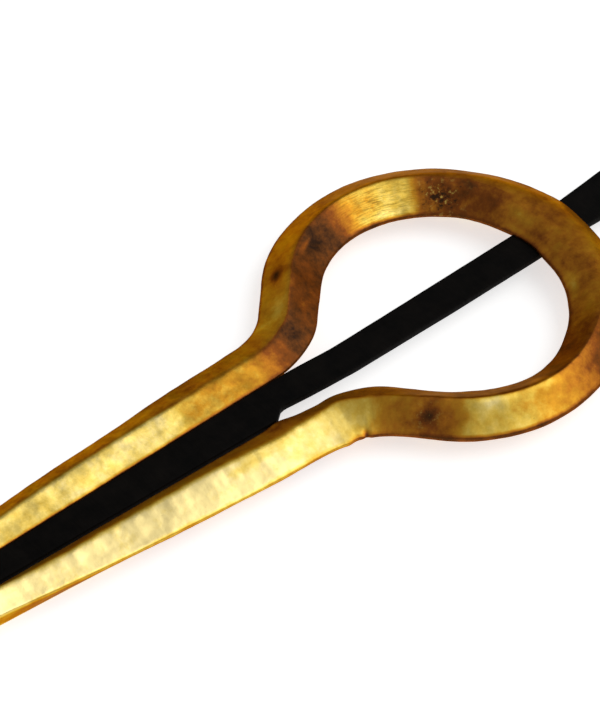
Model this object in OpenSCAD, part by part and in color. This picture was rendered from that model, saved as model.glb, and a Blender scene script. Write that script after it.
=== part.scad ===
// Jaw harp: a forged brass frame, a steel tongue that swings between its arms,
// and the key that locks the tongue in the bow's notch.
// Millimetres. +X runs along the tongue from its trigger to its tail, +Z is up,
// and the harp lies on the flat of its back with the trigger pointing up.

/* [Bow] */
// Half the width of the bow's opening, across the tongue
bow_inner_ry = 10.6; // [9:0.1:14]
// Half the length of the bow's opening, along the tongue
bow_inner_rx = 10; // [8.5:0.1:14]
// Width of the bar at the bow's sides
bow_bar_w = 5.3; // [4:0.1:7]
// Width of the bar where it was hammered out round the tongue
bow_end_w = 5.8; // [5:0.1:8]
// Height of the front ridge over the mid plane, at the bow's sides
bow_front_h = 2.1; // [1.5:0.1:3]
// Height of the flattened front over the mid plane, at the tongue
bow_end_front_h = 1.7; // [1:0.1:2.5]
// Width of the flattened front at the tongue
bow_end_flat_w = 2.2; // [0.5:0.1:3]
// Depth of the flat back under the mid plane
back_depth = 2.0; // [1.5:0.1:3]
// Angle between the bow's flanks and the tongue
flank_angle = 45; // [35:1:60]
// Radius of the inner edge where a flank turns into an arm
shoulder_r = 10.5; // [8:0.5:12]

/* [Arms] */
// Length of an arm from its shoulder to its tip
arm_len = 42; // [35:1:50]
// Width of an arm at its shoulder
arm_root_w = 4.9; // [4:0.1:6]
// Width of an arm at its tip
arm_tip_w = 1.9; // [1.6:0.1:2.6]
// Height of an arm's front ridge over the mid plane
arm_front_h = 1.1; // [0.8:0.05:1.6]
// Gap between the arms at the shoulder
gap_root = 4; // [3.2:0.1:5]
// Gap between the arms at the tips
gap_tip = 2.2; // [1.6:0.1:2.6]

/* [Tongue] */
// Thickness of the steel
tongue_t = 0.7; // [0.5:0.05:1]
// Clearance between the tongue's edge and an arm
tongue_clear = 0.15; // [0.1:0.05:0.3]
// Length of the tail behind the bow
tail_len = 8.9; // [4:0.1:12]
// Distance from the bow to the line that the free tongue swings about
swing_from_bow = 11; // [8:0.5:14]
// Length of tongue between the arms' tips and the trigger's bend
trigger_lead = 2.5; // [1.5:0.5:5]
// Height of the trigger's straight stretch
trigger_h = 8.5; // [6:0.5:14]
// Angle between the trigger and the upright, leaning away from the arms
trigger_lean = 8; // [0:1:20]

/* [Hidden] */
$fn = 64;

edge_blunt = 0.3; // height of the blunted edge along the bar's inner and outer sides
ridge_flat_w = 0.3; // width of the worn flat along the front ridge
back_flat_share = 0.2; // the back flat's width, as a share of the bar's
end_edge_z = 0.45; // height of the bar's widest level at the tongue, where metal was driven forward
tip_len = 0.8; // length over which an arm's tip is rounded off
tip_share = 0.55; // size of the tip's end, as a share of the bar
swing_gap = 0.02; // running gap at the swing line
bend_r = 0.9; // inner radius of the trigger's bend
curl_r = 0.9; // inner radius of the trigger's curl
curl_turn = 200; // how far the curl turns
key_proud = 0.15; // how far the key's ends stand out of the bow
key_set_in = 0.1; // how far the key's back stays inside the back plane
reach = 40; // more than the harp's width, for cutting tools
arc_step = 5; // degrees between rings on an arc
shoulder_rings = 8;
bend_steps = 10;
curl_steps = 20;
arm_rings = 14;

// The inner edge leaves the bow's oval at the flank, runs straight along it, and turns into the arm.
half_gap_root = gap_root / 2;
arm_slope = asin((gap_root - gap_tip) / 2 / arm_len);
flank_turn = 90 + flank_angle;
flank_top = bow_point(flank_turn);
flank_len = (flank_top.y - shoulder_r * (cos(arm_slope) - cos(flank_angle)) - half_gap_root) / sin(flank_angle);
flank_end = flank_top - flank_len * [cos(flank_angle), sin(flank_angle)];
arm_start = flank_end - shoulder_r * [sin(flank_angle) - sin(arm_slope), cos(arm_slope) - cos(flank_angle)];
tip_x = arm_start.x - arm_len * cos(arm_slope);
bow_outer_x = bow_inner_rx + bow_end_w;
tail_x = bow_outer_x + tail_len;
swing_x = bow_inner_rx - swing_from_bow;
bend_x = tip_x - trigger_lead;

function mix(a, b, k) = a + (b - a) * k;
function ease(k) = k * k * (3 - 2 * k);

// The point of the opening's oval where the outward direction is at an angle.
function bow_point(out) =
    let (p = [pow(bow_inner_rx, 2) * cos(out), pow(bow_inner_ry, 2) * sin(out)])
    p / norm([bow_inner_rx * cos(out), bow_inner_ry * sin(out)]);

// One station along the inner edge of the +Y half:
// [x, y, outward angle, bar width, front height, front flat, height of the widest level, size]
function bow_station(out) =
    let (p = bow_point(out), near = pow(max(0, cos(out)), 2), flat = near * near)
    [p.x, p.y, out, mix(bow_bar_w, bow_end_w, near), mix(bow_front_h, bow_end_front_h, flat),
     mix(ridge_flat_w, bow_end_flat_w, flat), end_edge_z * flat, 1];

// The bar thins between the bow and the arm: k is 0 at the flank's top and 1 where the arm starts.
function shoulder_station(p, out, k) =
    [p.x, p.y, out, mix(bow_bar_w, arm_root_w, k), mix(bow_front_h, arm_front_h, ease(k)), ridge_flat_w, 0, 1];

function shoulder_point(lean) =
    flank_end - shoulder_r * [sin(flank_angle) - sin(lean), cos(lean) - cos(flank_angle)];

function arm_station(u, size) =
    let (p = arm_start - u * arm_len * [cos(arm_slope), sin(arm_slope)])
    [p.x, p.y, 90 + arm_slope, mix(arm_root_w, arm_tip_w, pow(u, 1.3)),
     mix(arm_front_h, 0.8 * arm_front_h, u), ridge_flat_w, 0, size];

half_path = [
    for (out = [0 : arc_step : flank_turn - arc_step]) bow_station(out),
    shoulder_station(flank_top, flank_turn, 0),
    for (i = [0 : shoulder_rings])
        let (lean = mix(flank_angle, arm_slope, i / shoulder_rings))
        shoulder_station(shoulder_point(lean), 90 + lean, mix(0.3, 1, i / shoulder_rings)),
    for (i = [1 : arm_rings]) arm_station(i / arm_rings * (1 - tip_len / arm_len), 1),
    arm_station(1, tip_share)];

// The bar's section: [distance out from the inner edge, height over the mid plane].
// At a tip it shrinks about its middle, and its back stays on the back plane.
function section(s) =
    let (w = s[3], h = s[4], f = s[5], e = s[6], b = back_flat_share * w, size = s[7],
         corners = [[0, e - edge_blunt / 2], [0, e + edge_blunt / 2], [(w - f) / 2, h], [(w + f) / 2, h],
                    [w, e + edge_blunt / 2], [w, e - edge_blunt / 2], [(w + b) / 2, -back_depth],
                    [(w - b) / 2, -back_depth]])
    [for (c = corners) [w / 2 + (c.x - w / 2) * size, c.y == -back_depth ? c.y : c.y * size]];

function ring(s, side) =
    [for (c = section(s)) [s.x + c.x * cos(s[2]), side * (s.y + c.x * sin(s[2])), c.y]];

// Skins a run of rings, each with the same number of points, into one closed solid.
module skin(rings) {
    n = len(rings);
    m = len(rings[0]);
    sides = [for (i = [0 : n - 2], j = [0 : m - 1])
        let (a = i * m + j, b = i * m + (j + 1) % m)
        each [[a, b, b + m], [a, b + m, a + m]]];
    caps = [[for (j = [m - 1 : -1 : 0]) j], [for (j = [0 : m - 1]) (n - 1) * m + j]];
    polyhedron(points = [for (r = rings) each r], faces = concat(sides, caps), convexity = 6);
}

// The forged bar, from one arm's tip round the bow to the other's, before it was notched.
module bar() {
    far = [for (i = [len(half_path) - 1 : -1 : 1]) ring(half_path[i], -1)];
    near = [for (s = half_path) ring(s, 1)];
    skin(concat(far, near));
}

// Plan of the tongue: [x, +Y edge, -Y edge] from the tail to the trigger. It was cut by hand, and
// its tail flares more on the +Y side. Between the arms it follows their edges.
function arm_edge(x) = half_gap_root - (arm_start.x - x) * tan(arm_slope) - tongue_clear;
tongue_plan = [
    [tail_x, 3.6, -1.2],
    [bow_outer_x, 2.7, -1.05],
    [bow_inner_rx, 2.1, -1.2],
    [arm_start.x + 6, 1.55, -1.25],
    [arm_start.x + 1.5, 1.75, -1.35],
    [arm_start.x - 1, arm_edge(arm_start.x - 1), -1.35],
    [arm_start.x - 2.5, arm_edge(arm_start.x - 2.5), -arm_edge(arm_start.x - 2.5)],
    [tip_x, arm_edge(tip_x), -arm_edge(tip_x)],
    [tip_x - reach, arm_edge(tip_x), -arm_edge(tip_x)]];
plan_outline = concat([for (p = tongue_plan) [p.x, p.y]],
    [for (i = [len(tongue_plan) - 1 : -1 : 0]) [tongue_plan[i].x, tongue_plan[i].z]]);

module plan(z0, z1) {
    translate([0, 0, z0]) linear_extrude(z1 - z0) polygon(plan_outline);
}

// A stretch of the tongue between two places along it.
module strip(x0, x1) {
    intersection() {
        plan(-tongue_t / 2, tongue_t / 2);
        translate([x0, -reach / 2, -tongue_t]) cube([x1 - x0, reach, 2 * tongue_t]);
    }
}

// The trigger's outline seen from the side, [x, z], with angles from +X towards +Z.
trigger_w = 2 * arm_edge(tip_x);
trigger_turn = 90 - trigger_lean;
lean_along = [-sin(trigger_lean), cos(trigger_lean)];
lean_across = [-cos(trigger_lean), -sin(trigger_lean)];
bend_mid_r = bend_r + tongue_t / 2;
curl_mid_r = curl_r + tongue_t / 2;
bend_centre = [bend_x, bend_mid_r];
riser_end = bend_centre + bend_mid_r * lean_across + trigger_h * lean_along;
curl_centre = riser_end + curl_mid_r * lean_across;
low_x = curl_centre.x - curl_mid_r - tongue_t / 2;

function arc(centre, r, from, to, steps) =
    [for (i = [0 : steps]) let (a = mix(from, to, i / steps)) centre + r * [cos(a), sin(a)]];

trigger_outline = concat(
    [[tip_x, tongue_t / 2], [tip_x, -tongue_t / 2]],
    arc(bend_centre, bend_mid_r + tongue_t / 2, 270, 270 - trigger_turn, bend_steps),
    arc(curl_centre, curl_mid_r - tongue_t / 2, trigger_lean, trigger_lean + curl_turn, curl_steps),
    arc(curl_centre, curl_mid_r + tongue_t / 2, trigger_lean + curl_turn, trigger_lean, curl_steps),
    arc(bend_centre, bend_mid_r - tongue_t / 2, 270 - trigger_turn, 270, bend_steps));

// Puts the harp on its back, with the middle of its length over the origin.
module placed() {
    translate([-(tail_x + low_x) / 2, 0, back_depth]) children();
}

module frame() {
    color("goldenrod") placed() difference() {
        bar();
        plan(-back_depth - 1, tongue_t / 2);
    }
}

// The key fills the notch behind the tongue. Its ends are filed along the bow's back slopes.
module key() {
    slope = ((bow_end_w - back_flat_share * bow_end_w) / 2) / (back_depth + end_edge_z - edge_blunt / 2);
    top_in = slope * (end_edge_z - edge_blunt / 2 + tongue_t / 2) - key_proud;
    bottom_in = top_in + slope * (back_depth - key_set_in - tongue_t / 2);
    outline = [
        [bow_inner_rx + top_in, -tongue_t / 2],
        [bow_outer_x - top_in, -tongue_t / 2],
        [bow_outer_x - bottom_in, key_set_in - back_depth],
        [bow_inner_rx + bottom_in, key_set_in - back_depth]];
    color("darkgoldenrod") placed() intersection() {
        rotate([90, 0, 0]) linear_extrude(reach, center = true) polygon(outline);
        plan(-back_depth, -tongue_t / 2);
    }
}

// The tongue's held stretch and tail, and the short stretch of it that hardly bends.
module tongue_root() {
    color("dimgray") placed() strip(swing_x + tongue_t / 2 + swing_gap, tail_x);
}

// The free tongue turns about a round end on the swing line.
module tongue() {
    color("dimgray") placed() {
        strip(bend_x, swing_x);
        intersection() {
            plan(-tongue_t, tongue_t);
            translate([swing_x, 0, 0]) rotate([90, 0, 0]) cylinder(h = reach, d = tongue_t, center = true);
        }
        rotate([90, 0, 0]) linear_extrude(trigger_w, center = true) polygon(trigger_outline);
    }
}

frame();
key();
tongue_root();
tongue();
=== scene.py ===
"""A forged brass jaw harp with a black steel tongue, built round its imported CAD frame.

Lengths are in millimetres until a mesh is made, and MM turns them into metres. Angles named
`out` are the outward direction across the bar, counted from +X on the harp's +Y half.
"""
import math
from collections import namedtuple

import bmesh
import bpy
import numpy as np
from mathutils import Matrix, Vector, noise


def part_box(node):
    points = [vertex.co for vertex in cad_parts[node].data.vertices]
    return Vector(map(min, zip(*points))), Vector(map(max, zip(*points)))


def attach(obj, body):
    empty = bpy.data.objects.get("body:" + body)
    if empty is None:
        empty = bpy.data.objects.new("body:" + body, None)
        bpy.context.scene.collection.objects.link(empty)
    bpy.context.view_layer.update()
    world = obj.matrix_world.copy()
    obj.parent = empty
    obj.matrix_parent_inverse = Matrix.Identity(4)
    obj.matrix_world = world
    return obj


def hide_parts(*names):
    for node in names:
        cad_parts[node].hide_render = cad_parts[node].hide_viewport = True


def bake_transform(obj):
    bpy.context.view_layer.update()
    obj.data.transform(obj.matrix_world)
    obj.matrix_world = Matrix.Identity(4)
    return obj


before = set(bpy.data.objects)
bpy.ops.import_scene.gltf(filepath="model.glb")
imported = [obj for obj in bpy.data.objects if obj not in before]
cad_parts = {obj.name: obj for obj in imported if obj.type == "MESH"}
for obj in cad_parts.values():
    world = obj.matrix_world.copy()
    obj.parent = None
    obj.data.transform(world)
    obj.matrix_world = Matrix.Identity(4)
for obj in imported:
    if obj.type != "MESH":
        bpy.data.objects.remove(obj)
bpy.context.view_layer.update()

MM = 0.001

# --- Driving sizes, in millimetres -------------------------------------------------------------

OPENING = (10.0, 10.6)  # half the opening's size along the tongue and across it
BAR_W = 5.3  # the bar's width at the bow's sides
END_W = 5.8  # its width where it was hammered out round the tongue
FRONT_H = 2.1  # the front ridge over the mid plane
END_FRONT_H = 1.7
END_FLAT_W = 2.6
END_EDGE_Z = 0.45  # height of the bar's widest level at the tongue
BACK_DEPTH = 2.0
BACK_FLAT_SHARE = 0.2  # the back's flat, as a share of the width
BACK_SLOPE_SHARE = 0.4  # and each of the slopes beside it
RIDGE_FLAT_W = 0.3
EDGE_BLUNT = 0.3  # height of the flat at each side edge
FLANK = math.radians(45)  # slope of the straight stretch between the bow and a shoulder
SHOULDER_R = 10.5
ARM_LEN = 42.0
ARM_ROOT_W = 4.9
ARM_TIP_W = 1.9
ARM_FRONT_H = 1.1
ARM_TAPER = 1.3  # over 1, an arm narrows more slowly at its root
ARM_TIP_H_SHARE = 0.8  # the front's height at a tip, as a share of that at the root
HALF_GAP_ROOT = 2.0  # half the width of the slot between the arms
HALF_GAP_TIP = 1.1
TIP_LEN = 0.8  # length over which a tip is rounded
TIP_END_SIZE = 0.55  # size of the section at the very tip, and what it gains over that length
TIP_GAIN = 0.45

TONGUE_T = 0.7
TONGUE_CLEAR = 0.15  # between the tongue and each arm
TAIL_LEN = 8.9
BEND_R = 0.9
CURL_R = 0.9
CURL_TURN = math.radians(200)
TRIGGER_LEAD = 2.5
TRIGGER_H = 8.5
TRIGGER_LEAN = math.radians(8)

frame_low, frame_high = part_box("frame")
BOW_X = frame_high.x / MM - OPENING[0] - END_W  # centre of the bow's opening
MID_Z = frame_low.z / MM + BACK_DEPTH  # the mid plane, where the tongue lies

ARM_SLOPE = math.asin((HALF_GAP_ROOT - HALF_GAP_TIP) / ARM_LEN)


def mix(a, b, k):
    return a + (b - a) * k


def ease(k):
    k = min(1.0, max(0.0, k))
    return k * k * (3 - 2 * k)


def bump(value, centre, reach):
    """1 at the centre, falling smoothly to nothing about two reaches away."""
    return math.exp(-((value - centre) / reach) ** 2)


# --- The bar's path and section ----------------------------------------------------------------

# along: distance from the tongue's end of the bow. size: shrinks the section at a tip.
# soft: how far the front ridge is rounded over.
Station = namedtuple("Station", "x y out along width front flat edge size soft")


def opening_point(out):
    """The point of the opening's oval whose outward direction is `out`."""
    rx, ry = OPENING
    c, s = math.cos(out), math.sin(out)
    scale = math.hypot(rx * c, ry * s)
    return np.array([rx * rx * c, ry * ry * s]) / scale


FLANK_TOP = opening_point(math.pi / 2 + FLANK)
SHOULDER_RISE = SHOULDER_R * (math.cos(ARM_SLOPE) - math.cos(FLANK))
FLANK_LEN = (FLANK_TOP[1] - SHOULDER_RISE - HALF_GAP_ROOT) / math.sin(FLANK)
FLANK_END = FLANK_TOP - FLANK_LEN * np.array([math.cos(FLANK), math.sin(FLANK)])


def shoulder_point(lean):
    """The point of the shoulder's arc where its slope is `lean`."""
    back = np.array([math.sin(FLANK) - math.sin(lean), math.cos(lean) - math.cos(FLANK)])
    return FLANK_END - SHOULDER_R * back


ARM_START = shoulder_point(ARM_SLOPE)
TIP_X = ARM_START[0] - ARM_LEN * math.cos(ARM_SLOPE)
RING_STEP = 0.18  # distance between rings
FLANK_CHANGE = 0.3  # share of the change from bow to arm that comes before the shoulder

# How far the front ridge is rounded over, from the tongue to the arms' tips.
END_SOFT = 0.9
BOW_SOFT = 0.55
ARM_SOFT = 0.3
TIP_SOFT = 0.2


def bow_shape(out):
    """The section's sizes on the bow: it is wider and flatter where it holds the tongue."""
    near = max(0.0, math.cos(out)) ** 2
    flat = near * near
    return dict(width=mix(BAR_W, END_W, near), front=mix(FRONT_H, END_FRONT_H, flat),
                flat=mix(RIDGE_FLAT_W, END_FLAT_W, flat), edge=END_EDGE_Z * flat,
                soft=mix(BOW_SOFT, END_SOFT, near))


def shoulder_shape(k):
    """The section's sizes from the bow, where k is 0, to the arm's root, where it is 1."""
    return dict(width=mix(BAR_W, ARM_ROOT_W, k), front=mix(FRONT_H, ARM_FRONT_H, ease(k)),
                flat=RIDGE_FLAT_W, edge=0.0, soft=mix(BOW_SOFT, ARM_SOFT, k))


def arm_shape(u):
    """The section's sizes along the arm, from its root, where u is 0, to its tip, where it is 1."""
    return dict(width=mix(ARM_ROOT_W, ARM_TIP_W, u ** ARM_TAPER),
                front=ARM_FRONT_H * mix(1, ARM_TIP_H_SHARE, u),
                flat=RIDGE_FLAT_W, edge=0.0, soft=mix(ARM_SOFT, TIP_SOFT, u))


def half_path():
    """The inner edge of the +Y half, from the tongue round the bow and along the arm to its tip."""
    stations = []
    along = 0.0

    def add(point, out, shape, size=1.0):
        nonlocal along
        if stations:
            along += math.hypot(point[0] - stations[-1].x, point[1] - stations[-1].y)
        stations.append(Station(x=point[0], y=point[1], out=out, along=along, size=size, **shape))

    turn = math.pi / 2 + FLANK
    steps = round(turn * OPENING[1] / RING_STEP)
    for i in range(steps):
        out = turn * i / steps
        add(opening_point(out), out, bow_shape(out))
    steps = round(FLANK_LEN / RING_STEP)
    for i in range(steps):
        add(mix(FLANK_TOP, FLANK_END, i / steps), turn, shoulder_shape(FLANK_CHANGE * i / steps))
    steps = round(SHOULDER_R * (FLANK - ARM_SLOPE) / RING_STEP)
    for i in range(steps):
        lean = mix(FLANK, ARM_SLOPE, i / steps)
        add(shoulder_point(lean), math.pi / 2 + lean, shoulder_shape(mix(FLANK_CHANGE, 1, i / steps)))
    heading = np.array([math.cos(ARM_SLOPE), math.sin(ARM_SLOPE)])
    steps = round(ARM_LEN / RING_STEP)
    for i in range(steps + 1):
        u = i / steps
        left = ARM_LEN * (1 - u)
        size = 1.0
        if left < TIP_LEN:
            size = math.sqrt(max(0.0, 1 - (1 - left / TIP_LEN) ** 2)) * TIP_GAIN + TIP_END_SIZE
        add(ARM_START - u * ARM_LEN * heading, math.pi / 2 + ARM_SLOPE, arm_shape(u), size)
    return stations


CORNER_POINTS = 5
# Points along the straight stretch after each of the section's eight corners.
EDGE_POINTS = (1, 9, 2, 9, 1, 8, 3, 8)
SIDE_ROUND = 0.14  # how far the corners at the side edges are rounded over
BACK_ROUND = 0.12  # and those at the back
ROUND_LIMIT = 0.48  # the most of a straight stretch that one rounding takes
BACK_RIM = 0.2  # points this near the back keep their height at a tip
WEAR_START = 30  # where the arm's ridge begins to be worn, along the bar
WEAR_FADE = 6
WORN_SOFT = 0.4  # how much further a worn ridge is rounded over
# How the ridge strays by chance: [amount, length of one wave along the bar, place in the noise].
RIDGE_STRAY = ((0.12, 2.6, 3), (0.07, 0.9, 9))
STRAY_START = 26
STRAY_FADE = 6
SIDE_SEED = 7  # keeps the noise of the two halves apart


# Where the smith's hand left the bar off its true line: [place along the bar, counted from the
# tongue and negative on the -Y half; reach; shift of the inner edge; of the ridge, on top of the
# mean of both edges' shifts; of the outer edge], each shift away from the opening.
HAND = (
    (1.5, 1.2, 0.0, 0.0, 0.15), (3.2, 2.6, -0.28, 0.0, 0.0), (7.5, 3.0, 0.0, 0.0, 0.22),
    (12.5, 4.5, 0.0, 0.0, 0.46), (18.0, 5.0, 0.10, 0.0, 0.0), (24.0, 3.0, -0.10, 0.0, -0.10),
    (29.0, 2.0, -0.10, -0.1, 0.0), (29.0, 8.0, 0.0, 0.0, -0.28), (38.5, 6.0, 0.0, 0.0, -0.22),
    (40.3, 1.0, 0.0, 0.2, 0.0), (48.0, 4.0, 0.0, 0.1, -0.12), (55.0, 12.0, 0.0, 0.30, 0.0),
    (61.0, 7.0, 0.0, 0.0, 0.18), (-3.0, 4.0, 0.0, 0.0, -0.55), (-2.0, 2.0, -0.24, 0.0, 0.0),
    (-11.0, 6.0, 0.0, 0.0, -0.44), (-9.5, 2.5, 0.12, 0.0, 0.0), (-16.5, 4.0, 0.42, 0.0, 0.0),
    (-25.0, 2.5, 0.10, 0.0, -0.14), (-29.3, 2.0, -0.14, 0.0, 0.06), (-34.8, 1.3, 0.30, 0.0, 0.24),
    (-34.0, 3.5, 0.0, -0.90, 0.0), (-36.4, 0.9, 0.12, 0.0, 0.0), (-38.4, 1.0, -0.22, 0.0, 0.0),
    (-31.5, 1.5, 0.0, 0.0, 0.10), (-44.0, 6.0, 0.0, -0.62, 0.12), (-54.0, 7.0, 0.0, -0.62, 0.0),
    (-68.0, 8.0, 0.0, -0.50, -0.42))


def ridge_wear(t):
    """How far the ridge is worn round: the arm on the -Y side is, the rest isn't."""
    return ease((-t - WEAR_START) / WEAR_FADE)


def hand_shifts(t):
    """The shifts of the inner edge, the ridge and the outer edge at a place along the bar."""
    return [sum(bump(t, spot[0], spot[1]) * spot[i] for spot in HAND) for i in (2, 3, 4)]


def ridge_stray(s, side):
    """How far the ridge strays by chance at a station, which it does only away from the bow."""
    stray = 0.0
    for amount, wave, seed in RIDGE_STRAY:
        stray += amount * noise.noise(Vector((s.along / wave, SIDE_SEED * side, seed)))
    return stray * ease((s.along - STRAY_START) / STRAY_FADE)


def section(s, side):
    """The bar's rounded section as [out from the true inner edge, height over the mid plane] points."""
    w, h, e, b = s.width, s.front, s.edge, EDGE_BLUNT / 2
    inner, middle, outer = hand_shifts(side * s.along)
    back = BACK_FLAT_SHARE * w / 2
    ridge = w / 2 + middle + (inner + outer) / 2 + ridge_stray(s, side)
    corners = np.array([
        (inner, e - b), (inner, e + b), (ridge - s.flat / 2, h), (ridge + s.flat / 2, h),
        (w + outer, e + b), (w + outer, e - b),
        (w / 2 + back, -BACK_DEPTH), (w / 2 - back, -BACK_DEPTH)])
    soft = s.soft + WORN_SOFT * ridge_wear(side * s.along)
    roundings = (SIDE_ROUND, SIDE_ROUND, soft, soft, SIDE_ROUND, SIDE_ROUND, BACK_ROUND, BACK_ROUND)
    before = np.roll(corners, 1, axis=0)
    after = np.roll(corners, -1, axis=0)
    starts, ends = [], []
    for corner, a, c, rounding in zip(corners, before, after, roundings):
        reach_a = min(rounding, ROUND_LIMIT * np.linalg.norm(a - corner))
        reach_c = min(rounding, ROUND_LIMIT * np.linalg.norm(c - corner))
        starts.append(corner + (a - corner) / np.linalg.norm(a - corner) * reach_a)
        ends.append(corner + (c - corner) / np.linalg.norm(c - corner) * reach_c)
    points = []
    for i, corner in enumerate(corners):
        for j in range(CORNER_POINTS):
            t = j / (CORNER_POINTS - 1)
            points.append((1 - t) ** 2 * starts[i] + 2 * t * (1 - t) * corner + t * t * ends[i])
        following = starts[(i + 1) % len(corners)]
        for j in range(EDGE_POINTS[i]):
            points.append(mix(ends[i], following, (j + 1) / (EDGE_POINTS[i] + 1)))
    points = np.array(points)
    points[:, 0] = w / 2 + (points[:, 0] - w / 2) * s.size
    points[:, 1] *= np.where(points[:, 1] > -BACK_DEPTH + BACK_RIM, s.size, 1)
    return points


def ring(s, side):
    """The section's points, placed round the bar at a station of one half."""
    flat = section(s, side)
    x = BOW_X + s.x + flat[:, 0] * math.cos(s.out)
    y = side * (s.y + flat[:, 0] * math.sin(s.out))
    return np.stack([x, y, MID_Z + flat[:, 1]], axis=1)


# --- Meshes ------------------------------------------------------------------------------------

def new_object(name, mesh):
    obj = bpy.data.objects.new(name, mesh)
    bpy.context.scene.collection.objects.link(obj)
    return obj


def skin(name, rings, alongs):
    """A closed mesh through rings of equal length, with a UV map in millimetres: along, then round."""
    count, size = len(rings), len(rings[0])
    points = np.concatenate(rings) * MM
    faces, uvs = [], []
    for i in range(count - 1):
        around = np.concatenate([[0], np.cumsum(np.linalg.norm(
            np.roll(rings[i], -1, axis=0) - rings[i], axis=1))])
        for j in range(size):
            k = (j + 1) % size
            faces.append((i * size + j, i * size + k, (i + 1) * size + k, (i + 1) * size + j))
            uvs += [(alongs[i], around[j]), (alongs[i], around[j + 1]),
                    (alongs[i + 1], around[j + 1]), (alongs[i + 1], around[j])]
    for start, order in ((0, range(size - 1, -1, -1)), ((count - 1) * size, range(size))):
        faces.append(tuple(start + j for j in order))
        uvs += [tuple(points[start + j][1:] / MM) for j in order]
    mesh = bpy.data.meshes.new(name)
    mesh.from_pydata(points.tolist(), [], faces)
    layer = mesh.uv_layers.new(name="bar")
    layer.data.foreach_set("uv", np.array(uvs, np.float32).ravel())
    return new_object(name, mesh)


def get_points(obj):
    """The mesh's points, in millimetres."""
    co = np.zeros(len(obj.data.vertices) * 3)
    obj.data.vertices.foreach_get("co", co)
    return co.reshape(-1, 3) / MM


def set_points(obj, points):
    obj.data.vertices.foreach_set("co", (points * MM).ravel())
    obj.data.update()


def get_normals(obj):
    normals = np.zeros(len(obj.data.vertices) * 3)
    obj.data.vertices.foreach_get("normal", normals)
    return normals.reshape(-1, 3)


def set_attribute(obj, name, values):
    attribute = obj.data.attributes.new(name, "FLOAT", "POINT")
    attribute.data.foreach_set("value", np.asarray(values, np.float32))


def cut(obj, cutter):
    """Takes the cutter's volume out of obj, and removes the cutter."""
    boolean = obj.modifiers.new("cut", "BOOLEAN")
    boolean.operation = "DIFFERENCE"
    boolean.solver = "EXACT"
    boolean.object = cutter
    graph = bpy.context.evaluated_depsgraph_get()
    mesh = bpy.data.meshes.new_from_object(obj.evaluated_get(graph))
    obj.modifiers.clear()
    obj.data = mesh
    bpy.data.objects.remove(cutter)


def prism(name, outline, low, high):
    """A closed solid over a flat outline of [x, y] points, between two heights."""
    count = len(outline)
    points = [(x * MM, y * MM, z * MM) for z in (low, high) for x, y in outline]
    faces = [tuple(range(count - 1, -1, -1)), tuple(range(count, 2 * count))]
    faces += [(i, (i + 1) % count, count + (i + 1) % count, count + i) for i in range(count)]
    mesh = bpy.data.meshes.new(name)
    mesh.from_pydata(points, [], faces)
    return new_object(name, mesh)


def smooth(obj, sharp_degrees):
    obj.data.shade_smooth()
    obj.data.set_sharp_from_angle(angle=math.radians(sharp_degrees))


# --- The tongue's plan -------------------------------------------------------------------------

def arm_edge(x):
    """The tongue's half width at x between the arms, clear of them."""
    return HALF_GAP_ROOT - (ARM_START[0] - x) * math.tan(ARM_SLOPE) - TONGUE_CLEAR


TAIL_X = OPENING[0] + END_W + TAIL_LEN
BEND_X = TIP_X - TRIGGER_LEAD
PLAN_REACH = 40  # the plan goes on this far past the tips, further than the tongue does
SLOT_END = ARM_START[0] - 2.3  # from here to the tips the tongue fills the slot, but for its play
# [x from the bow's centre, +Y edge, -Y edge], from the trigger to the tail.
PLAN = np.array([
    (TIP_X - PLAN_REACH, arm_edge(TIP_X), -arm_edge(TIP_X)),
    (TIP_X, arm_edge(TIP_X), -arm_edge(TIP_X)),
    (SLOT_END, arm_edge(SLOT_END), -arm_edge(SLOT_END)),
    (ARM_START[0] - 2.0, arm_edge(ARM_START[0] - 2.0), -1.2),
    (ARM_START[0] - 1.3, arm_edge(ARM_START[0] - 1.3), -0.88),
    (ARM_START[0] + 1.5, 1.85, -1.13),
    (ARM_START[0] + 6, 1.62, -1.36),
    (0, 1.85, -1.35),
    (OPENING[0], 2.1, -1.2),
    (OPENING[0] + END_W, 2.7, -1.05),
    (TAIL_X, 3.6, -1.2)])


def plan_edges(x):
    """The tongue's +Y and -Y edges at x."""
    return np.interp(x, PLAN[:, 0], PLAN[:, 1]), np.interp(x, PLAN[:, 0], PLAN[:, 2])


# --- The frame ---------------------------------------------------------------------------------

# Marks of forging and filing all over the surface: [depth, size of one mark].
SWELL = (0.09, 5.5)
DENTS = (0.05, 2.6)
FILING = (0.010, 0.5)
DENT_LEVEL = 0.3  # sinks the middle of each blow and leaves its rim raised
NICK = (-31.6, 0.45, 0.12)  # a small nick in the outer edge: place along the bar, reach, depth
NICK_SHARE = 0.86  # where it begins, as a share of the width
NICK_FADE = 0.1


def noise_in(p, size):
    return noise.noise(Vector((p / size).tolist()))


def forged_offset(p, place):
    """How far hand forging and filing moved the surface at p, in millimetres, outwards."""
    swell = SWELL[0] * noise_in(p, SWELL[1])
    blow = noise.voronoi(Vector((p / DENTS[1]).tolist()))[0][0]
    dents = DENTS[0] * (blow * blow - DENT_LEVEL)
    fine = FILING[0] * noise_in(p, FILING[1])
    nick = NICK[2] * bump(place.t, NICK[0], NICK[1]) * ease((place.share - NICK_SHARE) / NICK_FADE)
    return swell + dents + fine - nick


# A point of the bar. t: place along it, counted from the tongue and negative on the -Y half.
# across: from the true inner edge. share: from the shifted one, as a share of the width there.
# outer: 1 on the outer front face and 0 on the inner one. up: height over the mid plane.
Place = namedtuple("Place", "t across share outer up")
REACH_IN = -1.5  # a station's own points lie between these, from its inner edge
REACH_OUT = 8
TOO_FAR = 99
RIDGE_BLEND = 0.3  # width over which one front face's tarnish and painted shade turn into the other's
WORN_RIDGE_BLEND = 0.9


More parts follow.
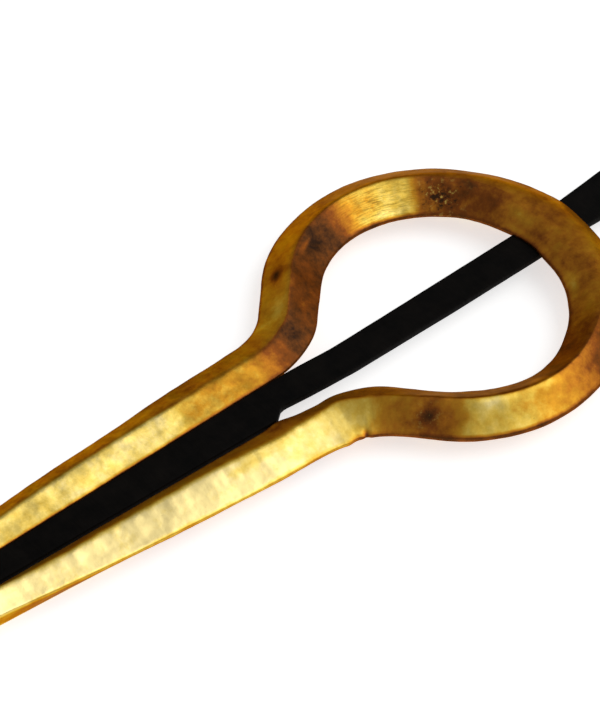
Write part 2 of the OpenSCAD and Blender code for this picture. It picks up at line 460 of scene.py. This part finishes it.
def find_places(points, half):
    """Where each point, counted from the bow's centre, lies on the bar."""
    line = np.array([(s.x, s.y, math.cos(s.out), math.sin(s.out)) for s in half])
    places = []
    for p in points:
        side = 1 if p[1] >= 0 else -1
        dx, dy = p[0] - line[:, 0], abs(p[1]) - line[:, 1]
        across = dx * line[:, 2] + dy * line[:, 3]
        aside = np.abs(dy * line[:, 2] - dx * line[:, 3])
        aside[(across < REACH_IN) | (across > REACH_OUT)] = TOO_FAR
        i = int(np.argmin(aside))
        t, width = side * half[i].along, half[i].width
        inner, middle, outer = hand_shifts(t)
        ridge = width / 2 + middle + (inner + outer) / 2
        turn = mix(RIDGE_BLEND, WORN_RIDGE_BLEND, ridge_wear(t))
        side_of_ridge = ease((across[i] - ridge) / turn + 0.5)
        share = (across[i] - inner) / (width + outer - inner)
        places.append(Place(t, across[i], share, side_of_ridge, p[2]))
    return places


SLOT_EDGE = 1.2  # the surface along the slot stays true over this width
SLOT_START = 26  # from this place along the bar
SLOT_FADE = 3
BACK_FADE = 0.5  # forging dies out over this height above the back
NOTCH_MARGIN = 3  # how far the notch's cutter stands clear of the bar along the tongue
NOTCH_DROP = 2  # and below it


def notch_cutter():
    """The tongue's bed and the room for the key, up to the tongue's front face."""
    x0, x1 = OPENING[0] - NOTCH_MARGIN, OPENING[0] + END_W + NOTCH_MARGIN
    xs = [x0, OPENING[0], OPENING[0] + END_W, x1]
    outline = [(BOW_X + x, plan_edges(x)[1]) for x in xs]
    outline += [(BOW_X + x, plan_edges(x)[0]) for x in reversed(xs)]
    return prism("notch", outline, MID_Z - BACK_DEPTH - NOTCH_DROP, MID_Z + TONGUE_T / 2)


def make_frame():
    """The forged bar from arm tip to arm tip, notched, with what its material needs on each point."""
    half = half_path()
    stations = [(s, -1) for s in reversed(half[1:])] + [(s, 1) for s in half]
    rings = [ring(s, side) for s, side in stations]
    obj = skin("harp_frame", rings, [side * s.along for s, side in stations])

    centre = np.array([BOW_X, 0, MID_Z])
    points, normals = get_points(obj), get_normals(obj)
    from_bow = points - centre
    moved = np.empty_like(points)
    for i, place in enumerate(find_places(from_bow, half)):
        slotward = ease((abs(place.t) - SLOT_START) / SLOT_FADE)
        keep = mix(1.0, ease(place.across / SLOT_EDGE), slotward)  # the slot's edges stay put
        keep *= ease((place.up + BACK_DEPTH) / BACK_FADE)  # and so does the back that it rests on
        moved[i] = points[i] + normals[i] * forged_offset(from_bow[i], place) * keep
    set_points(obj, moved)

    cut(obj, notch_cutter())

    places = find_places(get_points(obj) - centre, half)
    set_attribute(obj, "tarnish_and_shade", [tarnish_and_shade_at(place) for place in places])
    set_attribute(obj, "film", [np.interp(place.t, FILM[:, 0], FILM[:, 1]) for place in places])
    set_attribute(obj, "brushed", [spot_sum(place, BRUSHED) * frontness(place) for place in places])
    set_attribute(obj, "pitted", [spot_sum(place, PITTED) * frontness(place) for place in places])
    smooth(obj, sharp_degrees=48)
    return obj


# How dark each front face is along the bar, from 0, rubbed bright, to 1, black-brown: [place, tarnish
# and painted shade]. Part is the brass's own tarnish and part is painted shade: the faces turned away
# from the camera mostly get the darker values, and the dark brown on the +Y half's inner face, from the
# bow round the shoulder, is painted shade.
INNER_FACE = np.array([
    (-80, 0.38), (-64, 0.42), (-58, 0.50), (-48, 0.52), (-38, 0.58), (-30, 0.66), (-20, 0.74),
    (-13, 0.78), (-8, 0.61), (-3, 0.61), (0, 0.63), (3.2, 0.57), (4.2, 0.75), (8, 0.79),
    (10.4, 0.66), (11.3, 0.30), (15.0, 0.36), (17.4, 0.76), (18.6, 0.92), (22, 0.87), (25, 0.82),
    (28, 0.85), (31.5, 0.87), (33.5, 0.79), (35.5, 0.62), (37.5, 0.46), (43.5, 0.37), (45.5, 0.16),
    (52, 0.15), (60, 0.20), (80, 0.22)])
OUTER_FACE = np.array([
    (-80, -0.05), (-42, -0.02), (-38, 0.06), (-35.5, 0.12), (-33, 0.25), (-31, 0.34), (-29, 0.53),
    (-23.5, 0.62), (-22.3, 0.33), (-20.5, 0.27), (-18.5, 0.35), (-17, 0.50), (-15, 0.66),
    (-13.5, 0.73), (-12.5, 0.76), (-8, 0.66), (-3, 0.61), (0, 0.61), (6, 0.60), (8, 0.68),
    (12, 0.64), (22, 0.62), (25, 0.50), (31, 0.46), (34, 0.58), (80, 0.58)])
# Marks on them: [place along, across, reach along, reach across, change of tarnish level]. The dark
# mark at -31.6 is painted shade in the nick.
MARKS = (
    (2.2, 1.3, 1.1, 0.5, -0.16), (5.5, 4.0, 2.5, 0.6, -0.06), (0.3, 3.0, 0.5, 1.5, 0.10),
    (14.0, 0.5, 2.4, 0.35, -0.14), (20.4, 1.4, 1.0, 0.6, 0.10), (21.2, 2.1, 0.8, 0.10, -0.34),
    (24.0, 3.75, 0.75, 0.45, 0.40), (28.4, 3.1, 1.6, 0.5, -0.20), (26.6, 0.9, 1.2, 0.5, -0.10),
    (30.2, 1.1, 1.4, 0.7, 0.08), (41.5, 3.4, 1.0, 0.6, 0.08), (46.7, 1.2, 2.6, 0.9, -0.08),
    (-6.0, 0.7, 1.2, 0.4, -0.18), (-4.0, 3.5, 1.0, 1.0, -0.06), (-0.5, 0.6, 1.6, 0.3, 0.12),
    (-21.0, 3.1, 1.0, 0.45, -0.24), (-17.0, 3.0, 1.0, 0.4, -0.12), (-25.0, 3.8, 0.7, 0.5, 0.32),
    (-26.0, 4.4, 1.4, 0.5, 0.10), (-28.0, 3.2, 1.0, 0.4, 0.10), (-31.6, 5.0, 0.4, 0.3, 0.60),
    (-42.0, 2.5, 3.5, 0.4, 0.20), (-58.0, 0.6, 3.0, 0.5, 0.10), (-38.5, 0.4, 2.0, 0.5, 0.12))
# The same, but ending in a share: of bright scratches along the bar, and of pits with gold specks.
BRUSHED = ((13.8, 1.4, 3.2, 2.0, 1.0),)
PITTED = ((8.9, 1.3, 1.6, 1.2, 1.0), (-25.0, 3.8, 1.0, 0.8, 0.5))
# How much of a dull film lies over the brass along the bar: [place, share].
FILM = np.array([(-80, 0.0), (-30, 0.0), (-27, 0.5), (34, 0.5), (38, 0.95), (80, 0.95)])
FRONT_LOW = -0.35  # height over the mid plane where the front's looks begin
FRONT_FADE = 0.4
BACK_TARNISH = 0.64  # on the slopes of the back
BACK_FLAT_TARNISH = 0.36  # on the flat that rubs on the table
BACK_FLAT_FADE = 0.3
BACK_MOTTLE = 0.22
MOTTLE_LENGTH = 7
MOTTLE_WIDTH = 4
MOTTLE_SEED = 5
# A thin line of painted shade along both side edges, on the tarnish scale.
EDGE_SHADE_LEVEL = 0.86
INNER_EDGE_REACH = 0.035  # of the painted shade at the side edges, as a share of the width
OUTER_EDGE_REACH = 0.030
WORN_EDGE = 0.5  # how much of it is left at the outer edge of the worn arm


def spot_sum(place, spots):
    """What a list of spots adds up to at a place."""
    total = 0.0
    for t, across, reach_t, reach_across, strength in spots:
        total += strength * bump(place.t, t, reach_t) * bump(place.across, across, reach_across)
    return total


def frontness(place):
    """1 on the front faces, falling to 0 just below the bar's widest level."""
    return ease((place.up - FRONT_LOW) / FRONT_FADE)


def tarnish_and_shade_at(place):
    """How dark the brass is at a place, from 0, rubbed bright, to 1, black-brown: its tarnish together
    with painted shade.
    """
    inner = np.interp(place.t, INNER_FACE[:, 0], INNER_FACE[:, 1])
    outer = np.interp(place.t, OUTER_FACE[:, 0], OUTER_FACE[:, 1])
    # Each front face takes its own value, which holds painted shade as well as tarnish.
    front = mix(inner, outer, place.outer) + spot_sum(place, MARKS)
    # Painted shade: a thin dark line along both side edges.
    inner_edge = bump(place.share, 0, INNER_EDGE_REACH)
    outer_edge = bump(place.share, 1, OUTER_EDGE_REACH) * mix(1, WORN_EDGE, ridge_wear(place.t))
    front = mix(front, max(front, EDGE_SHADE_LEVEL), max(inner_edge, outer_edge))
    back = mix(BACK_TARNISH, BACK_FLAT_TARNISH, bump(place.up, -BACK_DEPTH, BACK_FLAT_FADE))
    mottle = Vector((place.t / MOTTLE_LENGTH, place.across / MOTTLE_WIDTH, MOTTLE_SEED))
    back += BACK_MOTTLE * noise.noise(mottle)
    return mix(back, front, frontness(place))


# --- The tongue --------------------------------------------------------------------------------

TONGUE_EDGE = 0.09  # how far the corners of its section are broken
EDGE_BEND = 0.3  # where the break bends, as a share of that
CORNER_R = 0.9  # of the tail's corners, seen from the front
CORNER_STEPS = 8
STRIP_STEP = 0.4  # distance between stations along the flat
BEND_STEPS = 12
TRIGGER_STEPS = 16
CURL_STEPS = 24
PLAN_BLUR = 0.4  # each edge is the plan's mean over this distance either way
PLAN_SAMPLES = 7
SIDE_TRIM = 0.03  # what hammering and filing took off each side, and off each face
FACE_TRIM = 0.005
FACE_POINTS = 8
SCALE_RELIEF = 0.012  # of the forge scale
SCALE_SIZE = 1.6
SCALE_LEVEL = 0.006  # sinks it, so that little of it stands proud of the strip


def tongue_path():
    """Stations from the tail to the curl's end: [point, direction out of the face, x for the plan]."""
    mid_r = BEND_R + TONGUE_T / 2
    curl_r = CURL_R + TONGUE_T / 2
    stations = []
    for i in range(CORNER_STEPS):
        x = TAIL_X - CORNER_R * (1 - math.cos(math.pi / 2 * i / CORNER_STEPS))
        stations.append(((x, 0.0), (0.0, 1.0), x))
    steps = round((TAIL_X - CORNER_R - BEND_X) / STRIP_STEP)
    for i in range(steps):
        x = mix(TAIL_X - CORNER_R, BEND_X, i / steps)
        stations.append(((x, 0.0), (0.0, 1.0), x))
    turn = math.pi / 2 - TRIGGER_LEAN
    for i in range(BEND_STEPS):
        a = turn * i / BEND_STEPS
        point = (BEND_X - mid_r * math.sin(a), mid_r - mid_r * math.cos(a))
        stations.append((point, (math.sin(a), math.cos(a)), BEND_X))
    across = np.array([math.cos(TRIGGER_LEAN), math.sin(TRIGGER_LEAN)])
    along = np.array([-math.sin(TRIGGER_LEAN), math.cos(TRIGGER_LEAN)])
    base = np.array([BEND_X, mid_r]) - mid_r * across
    for i in range(TRIGGER_STEPS):
        stations.append((tuple(base + along * TRIGGER_H * i / TRIGGER_STEPS), tuple(across), BEND_X))
    centre = base + along * TRIGGER_H - curl_r * across
    for i in range(CURL_STEPS + 1):
        a = TRIGGER_LEAN + CURL_TURN * i / CURL_STEPS
        normal = np.array([math.cos(a), math.sin(a)])
        stations.append((tuple(centre + curl_r * normal), tuple(normal), BEND_X))
    return stations


def tongue_ring(point, normal, plan_x, end_inset):
    """The strip's section at a station, its corners broken. The inset narrows it at the tail's end."""
    xs = plan_x + np.linspace(-PLAN_BLUR, PLAN_BLUR, PLAN_SAMPLES)
    left = float(np.mean([plan_edges(x)[0] for x in xs])) - SIDE_TRIM - end_inset
    right = float(np.mean([plan_edges(x)[1] for x in xs])) + SIDE_TRIM + end_inset
    half_t = TONGUE_T / 2 - FACE_TRIM
    e = TONGUE_EDGE
    bend = EDGE_BEND * e
    outline = [(right, -half_t + e), (right, half_t - e)]
    outline += [(right + bend, half_t - bend), (right + e, half_t)]
    outline += [(y, half_t) for y in np.linspace(right + e, left - e, FACE_POINTS)[1:-1]]
    outline += [(left - e, half_t), (left - bend, half_t - bend)]
    outline += [(left, half_t - e), (left, -half_t + e)]
    outline += [(left - bend, -half_t + bend), (left - e, -half_t)]
    outline += [(y, -half_t) for y in np.linspace(left - e, right + e, FACE_POINTS)[1:-1]]
    outline += [(right + e, -half_t), (right + bend, -half_t + bend)]
    x, z = BOW_X + point[0], MID_Z + point[1]
    return np.array([(x + t * normal[0], y, z + t * normal[1]) for y, t in outline])


def make_tongue():
    """The whole strip in one mesh, from the tail to the trigger's curl."""
    rings, alongs, along, last = [], [], 0.0, None
    for point, normal, plan_x in tongue_path():
        if last is not None:
            along += math.hypot(point[0] - last[0], point[1] - last[1])
        last = point
        inset = 0.0
        if along < CORNER_R:
            inset = CORNER_R - math.sqrt(CORNER_R ** 2 - (CORNER_R - along) ** 2)
        rings.append(tongue_ring(point, normal, plan_x, inset))
        alongs.append(along)
    obj = skin("steel_tongue", rings, alongs)
    points, normals = get_points(obj), get_normals(obj)
    offsets = [SCALE_RELIEF * noise_in(p, SCALE_SIZE) - SCALE_LEVEL for p in points]
    set_points(obj, points + normals * np.array(offsets)[:, None])
    smooth(obj, sharp_degrees=40)
    return obj


# --- The key -----------------------------------------------------------------------------------

KEY_PLAY = 0.02  # between the key and each side of the notch
KEY_BEVEL = 0.12
KEY_TARNISH = 0.62
KEY_FILM = 0.5


def make_key():
    """The brass key driven in behind the tongue. It slopes with the bar's back, its edges broken."""
    low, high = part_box("key")
    top, bottom = high.z / MM, low.z / MM
    x0, x1 = low.x / MM - BOW_X, high.x / MM - BOW_X
    slope_h = BACK_DEPTH + END_EDGE_Z - EDGE_BLUNT / 2
    inset = (top - bottom) * (BACK_SLOPE_SHARE * END_W) / slope_h
    corners = []
    for z, i in ((bottom, inset), (top, 0.0)):
        for x, edge in ((x0 + i, 1), (x1 - i, 1), (x1 - i, 0), (x0 + i, 0)):
            y = plan_edges(x)[edge] + (KEY_PLAY if edge else -KEY_PLAY)
            corners.append(((BOW_X + x) * MM, y * MM, z * MM))
    sides = [(0, 1, 5, 4), (1, 2, 6, 5), (2, 3, 7, 6), (3, 0, 4, 7)]
    mesh = bpy.data.meshes.new("notch_key")
    mesh.from_pydata(corners, [], [(3, 2, 1, 0), (4, 5, 6, 7)] + sides)
    shape = bmesh.new()
    shape.from_mesh(mesh)
    bmesh.ops.bevel(shape, geom=shape.edges, offset=KEY_BEVEL * MM, segments=3, affect="EDGES",
                    profile=0.5)
    bmesh.ops.triangulate(shape, faces=[f for f in shape.faces if len(f.verts) > 4])
    shape.to_mesh(mesh)
    shape.free()
    obj = new_object("notch_key", mesh)
    set_attribute(obj, "tarnish_and_shade", [KEY_TARNISH] * len(mesh.vertices))
    set_attribute(obj, "film", [KEY_FILM] * len(mesh.vertices))
    smooth(obj, sharp_degrees=35)
    return obj


# --- Materials ---------------------------------------------------------------------------------

def material(name):
    """A new node material: itself, its node tree and its shader."""
    mat = bpy.data.materials.new(name)
    mat.use_nodes = True
    tree = mat.node_tree
    return mat, tree, tree.nodes["Principled BSDF"]


def add(tree, kind, settings=None, inputs=None):
    """A node of that kind. An input is a plain value or another node's output socket."""
    node = tree.nodes.new("ShaderNode" + kind)
    for key, value in (settings or {}).items():
        setattr(node, key, value)
    for key, value in (inputs or {}).items():
        if isinstance(value, bpy.types.NodeSocket):
            tree.links.new(value, node.inputs[key])
        else:
            node.inputs[key].default_value = value
    return node


def ramp(tree, fac, stops):
    """Maps a number through [position, colour or grey] stops."""
    node = add(tree, "ValToRGB", inputs={"Fac": fac})
    while len(node.color_ramp.elements) < len(stops):
        node.color_ramp.elements.new(0.5)
    for element, (at, colour) in zip(node.color_ramp.elements, stops):
        element.position = at
        element.color = (*colour, 1) if isinstance(colour, tuple) else (colour, colour, colour, 1)
    return node.outputs["Color"]


def read_attribute(tree, name):
    return add(tree, "Attribute", {"attribute_name": name}).outputs["Fac"]


def maths(tree, operation, *values):
    node = add(tree, "Math", {"operation": operation})
    for socket, value in zip(node.inputs, values):
        if isinstance(value, bpy.types.NodeSocket):
            tree.links.new(value, socket)
        else:
            socket.default_value = value
    return node.outputs[0]


def blend_colours(tree, fac, a, b):
    node = add(tree, "MixRGB", inputs={"Fac": fac, "Color1": a, "Color2": b})
    return node.outputs["Color"]


def multiply(tree, colour, by, fac):
    inputs = {"Fac": fac, "Color1": colour, "Color2": by}
    return add(tree, "MixRGB", {"blend_type": "MULTIPLY"}, inputs).outputs["Color"]


def place_on(tree, scale, source="Object"):
    """Coordinates in cells: scale is cells per metre, or per millimetre on the UV map.

    The UV map's first coordinate runs along the bar or strip, and its second round it.
    """
    coords = add(tree, "TexCoord").outputs[source]
    return add(tree, "Mapping", inputs={"Vector": coords, "Scale": scale}).outputs["Vector"]


def cells(tree, size):
    """Coordinates for a texture whose features are `size` millimetres."""
    per = 1 / (size * MM)
    return place_on(tree, (per, per, per))


def noise_at(tree, vector, detail, roughness):
    inputs = {"Vector": vector, "Scale": 1.0, "Detail": detail, "Roughness": roughness}
    return add(tree, "TexNoise", inputs=inputs).outputs["Fac"]


BUMP_STRENGTH = 0.4


def emboss(tree, shader, height, depth):
    """Bumps the shader's surface, where a height of 1 stands for `depth` millimetres."""
    inputs = {"Height": height, "Strength": BUMP_STRENGTH, "Distance": depth * MM}
    tree.links.new(add(tree, "Bump", inputs=inputs).outputs["Normal"], shader.inputs["Normal"])


# The colour of brass, from rubbed bright to black-brown, used alike for tarnish and for painted shade:
# [tarnish and shade level, colour].
TARNISH_AND_SHADE_COLOURS = (
    (0.0, (1.0, 0.80, 0.33)), (0.14, (0.90, 0.67, 0.17)), (0.30, (0.74, 0.49, 0.070)),
    (0.46, (0.61, 0.290, 0.023)), (0.62, (0.47, 0.172, 0.017)), (0.76, (0.25, 0.071, 0.013)),
    (0.90, (0.11, 0.039, 0.012)), (1.0, (0.035, 0.017, 0.010)))
BRASS_EDGE_TINT = (0.72, 0.48, 0.22, 1)  # at grazing angles, where clean metal would go white
FLECK_COLOUR = (0.66, 0.46, 0.10, 1)
PIT_COLOUR = (0.03, 0.018, 0.010, 1)
CLOUD_SIZE = 2.4  # of the tarnish's mottling, and how far it moves the tarnish
CLOUD_CHANGE = 0.56
GRAIN_SIZE = 0.8
GRAIN_CHANGE = 0.34
SMEAR_SIZE = 1.5  # of the blotches in the dull film
SPECK_SIZE = 0.5  # of the pits and of the flecks between them
SCRATCH_CELLS = (0.9, 7.0, 1.0)  # long along the bar
FILED_CELLS = (1.3, 0.40, 1.0)  # long across it
PIT_GAIN = 0.29  # how much easier pits start where the brass is pitted
# What each pattern's darkest and lightest parts do: [pattern, factor or share].
FILED_SHADE = ((0.32, 0.88), (0.58, 1.0))
FILM_SHADE = ((0.34, 0.56), (0.62, 0.97))
SCRATCH_SHADE = ((0.38, 0.50), (0.56, 1.15))
PIT_SHADE = ((0.71, 0.0), (0.85, 0.92))
FLECK_SHADE = ((0.36, 0.9), (0.44, 0.0))
BRASS_ROUGHNESS = 0.27
TARNISH_AND_SHADE_ROUGHNESS = 0.20
FILED_ROUGHNESS = 0.08
FILED_HEIGHT = 0.3
GRAIN_HEIGHT = 0.5
SCRATCH_HEIGHT = 0.9
PIT_HEIGHT = -0.5
BRASS_RELIEF = 0.05


def brass_material(name):
    """Old brass: pale gold where it is rubbed, ochre and brown where it tarnished and where shade is
    painted on it.
    """
    mat, tree, shader = material(name)
    tarnish_and_shade = read_attribute(tree, "tarnish_and_shade")
    film = read_attribute(tree, "film")
    brushed = read_attribute(tree, "brushed")
    pitted = read_attribute(tree, "pitted")
    cloud = noise_at(tree, cells(tree, CLOUD_SIZE), detail=6, roughness=0.62)
    grain = noise_at(tree, cells(tree, GRAIN_SIZE), detail=5, roughness=0.7)
    smear = noise_at(tree, cells(tree, SMEAR_SIZE), detail=5, roughness=0.65)
    speck = noise_at(tree, cells(tree, SPECK_SIZE), detail=4, roughness=0.65)
    scratches = noise_at(tree, place_on(tree, SCRATCH_CELLS, "UV"), detail=4, roughness=0.75)
    filed = noise_at(tree, place_on(tree, FILED_CELLS, "UV"), detail=6, roughness=0.7)

    level = maths(tree, "ADD", tarnish_and_shade, -CLOUD_CHANGE / 2 - GRAIN_CHANGE / 2)
    level = maths(tree, "MULTIPLY_ADD", cloud, CLOUD_CHANGE, level)
    level = maths(tree, "MULTIPLY_ADD", grain, GRAIN_CHANGE, level)
    # Tarnish and painted shade darken the brass through the same ramp.
    colour = ramp(tree, level, TARNISH_AND_SHADE_COLOURS)
    colour = multiply(tree, colour, ramp(tree, filed, FILED_SHADE), 1.0)
    colour = multiply(tree, colour, ramp(tree, smear, FILM_SHADE), film)
    colour = multiply(tree, colour, ramp(tree, scratches, SCRATCH_SHADE), brushed)
    pits = ramp(tree, maths(tree, "MULTIPLY_ADD", pitted, PIT_GAIN, speck), PIT_SHADE)
    flecks = maths(tree, "MULTIPLY", ramp(tree, speck, FLECK_SHADE), pitted)
    colour = blend_colours(tree, flecks, colour, FLECK_COLOUR)
    colour = blend_colours(tree, pits, colour, PIT_COLOUR)
    tree.links.new(colour, shader.inputs["Base Color"])
    shader.inputs["Metallic"].default_value = 1.0
    shader.inputs["Specular Tint"].default_value = BRASS_EDGE_TINT

    rough = maths(tree, "MULTIPLY_ADD", level, TARNISH_AND_SHADE_ROUGHNESS, BRASS_ROUGHNESS)
    rough = maths(tree, "MULTIPLY_ADD", filed, FILED_ROUGHNESS, rough)
    tree.links.new(rough, shader.inputs["Roughness"])

    height = maths(tree, "MULTIPLY", grain, GRAIN_HEIGHT)
    height = maths(tree, "MULTIPLY_ADD", filed, FILED_HEIGHT, height)
    scratched = maths(tree, "MULTIPLY", scratches, brushed)
    height = maths(tree, "MULTIPLY_ADD", scratched, SCRATCH_HEIGHT, height)
    height = maths(tree, "MULTIPLY_ADD", pits, PIT_HEIGHT, height)
    emboss(tree, shader, height, BRASS_RELIEF)
    return mat


STEEL_COLOURS = ((0.35, (0.0010, 0.0008, 0.0006)), (0.70, (0.0040, 0.0030, 0.0022)))
STEEL_ROUGHNESS = ((0.3, 0.55), (0.7, 0.78))
STEEL_CLOUD_SIZE = 1.6
STEEL_MARK_CELLS = (6.0, 0.5, 1.0)  # long across the strip
STEEL_CLOUD_HEIGHT = 0.8
STEEL_RELIEF = 0.03


def steel_material():
    """Spring steel under a matt black oil finish, with forge scale and marks filed across it."""
    mat, tree, shader = material("black_steel")
    cloud = noise_at(tree, cells(tree, STEEL_CLOUD_SIZE), detail=5, roughness=0.6)
    marks = noise_at(tree, place_on(tree, STEEL_MARK_CELLS, "UV"), detail=3, roughness=0.7)
    tree.links.new(ramp(tree, cloud, STEEL_COLOURS), shader.inputs["Base Color"])
    shader.inputs["Specular IOR Level"].default_value = 0.05
    tree.links.new(ramp(tree, marks, STEEL_ROUGHNESS), shader.inputs["Roughness"])
    height = maths(tree, "MULTIPLY_ADD", cloud, STEEL_CLOUD_HEIGHT, marks)
    emboss(tree, shader, height, STEEL_RELIEF)
    return mat


FLOOR_COLOURS = ((0.3, (0.66, 0.66, 0.65)), (0.7, (0.70, 0.70, 0.69)))
FLOOR_TONE_SIZE = 60
FLOOR_GLOW = 0.65  # keeps the floor as white as the photo's background


def floor_material():
    """Matt white board, lit a little from within."""
    mat, tree, shader = material("pale_floor")
    tone = noise_at(tree, cells(tree, FLOOR_TONE_SIZE), detail=2, roughness=0.55)
    tree.links.new(ramp(tree, tone, FLOOR_COLOURS), shader.inputs["Base Color"])
    shader.inputs["Roughness"].default_value = 0.9
    shader.inputs["Specular IOR Level"].default_value = 0.1
    shader.inputs["Emission Color"].default_value = (1.0, 1.0, 1.0, 1)
    shader.inputs["Emission Strength"].default_value = FLOOR_GLOW
    return mat


# --- Studio ------------------------------------------------------------------------------------

# The studio's lengths are in metres.
HEADING = math.radians(39.6)  # the camera looks this far round from +Y towards +X
ELEVATION = math.radians(46)
LENS = 125
SENSOR = 36
CLIP = (0.005, 20)
DISTANCE = 0.203
AIM = (-13.5, 2.4)  # what it looks at, in millimetres from the bow's centre
LOOK_AT = Vector(((BOW_X + AIM[0]) * MM, AIM[1] * MM, MID_Z * MM))
KEY_LIGHT_FROM = (0.72, 0.02, 0.72)  # right, away and up, as the camera sees it
KEY_LIGHT_DISTANCE = 0.95
KEY_LIGHT_SIZE = (1.12, 1.02)
KEY_LIGHT_RADIANCE = 1.65
WORLD_COLOUR = (0.96, 0.97, 1.0, 1)
WORLD_STRENGTH = 0.4
FLOOR_REACH = 3.0


def seen(right, away, up):
    """Turns a direction given as the camera sees it from above into the frame's axes."""
    c, s = math.cos(HEADING), math.sin(HEADING)
    return Vector((right * c + away * s, -right * s + away * c, up))


def point_at(obj, target):
    obj.rotation_euler = (target - obj.location).to_track_quat("-Z", "Y").to_euler()


def make_camera():
    camera = bpy.data.objects.new("camera", bpy.data.cameras.new("camera"))
    bpy.context.scene.collection.objects.link(camera)
    camera.data.lens = LENS
    camera.data.sensor_width = SENSOR
    camera.data.clip_start, camera.data.clip_end = CLIP
    camera.location = LOOK_AT + DISTANCE * seen(0, -math.cos(ELEVATION), math.sin(ELEVATION))
    point_at(camera, LOOK_AT)
    bpy.context.scene.camera = camera


def make_key_light():
    lamp = bpy.data.lights.new("key_light", "AREA")
    lamp.shape = "RECTANGLE"
    lamp.size, lamp.size_y = KEY_LIGHT_SIZE
    lamp.energy = KEY_LIGHT_RADIANCE * math.pi * KEY_LIGHT_SIZE[0] * KEY_LIGHT_SIZE[1]
    obj = bpy.data.objects.new("key_light", lamp)
    bpy.context.scene.collection.objects.link(obj)
    obj.location = LOOK_AT + seen(*KEY_LIGHT_FROM).normalized() * KEY_LIGHT_DISTANCE
    point_at(obj, LOOK_AT)


def make_studio():
    floor_mesh = bpy.data.meshes.new("floor")
    corners = [(x * FLOOR_REACH, y * FLOOR_REACH, 0) for x, y in ((-1, -1), (1, -1), (1, 1), (-1, 1))]
    floor_mesh.from_pydata(corners, [], [(0, 1, 2, 3)])
    floor = new_object("floor", floor_mesh)
    floor.data.materials.append(floor_material())
    make_key_light()
    world = bpy.data.worlds.new("studio")
    world.use_nodes = True
    background = world.node_tree.nodes["Background"]
    background.inputs["Color"].default_value = WORLD_COLOUR
    background.inputs["Strength"].default_value = WORLD_STRENGTH
    bpy.context.scene.world = world
    bpy.context.scene.view_settings.view_transform = "Standard"


# --- Putting it together -----------------------------------------------------------------------

make_camera()
make_studio()

harp = make_frame()
harp.data.materials.append(brass_material("old_brass"))
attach(harp, "harp_frame")
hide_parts("frame")

key = make_key()
key.data.materials.append(brass_material("key_brass"))
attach(key, "harp_frame")
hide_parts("key")

tongue = make_tongue()
tongue.data.materials.append(steel_material())
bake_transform(tongue)
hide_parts("tongue_root", "tongue")
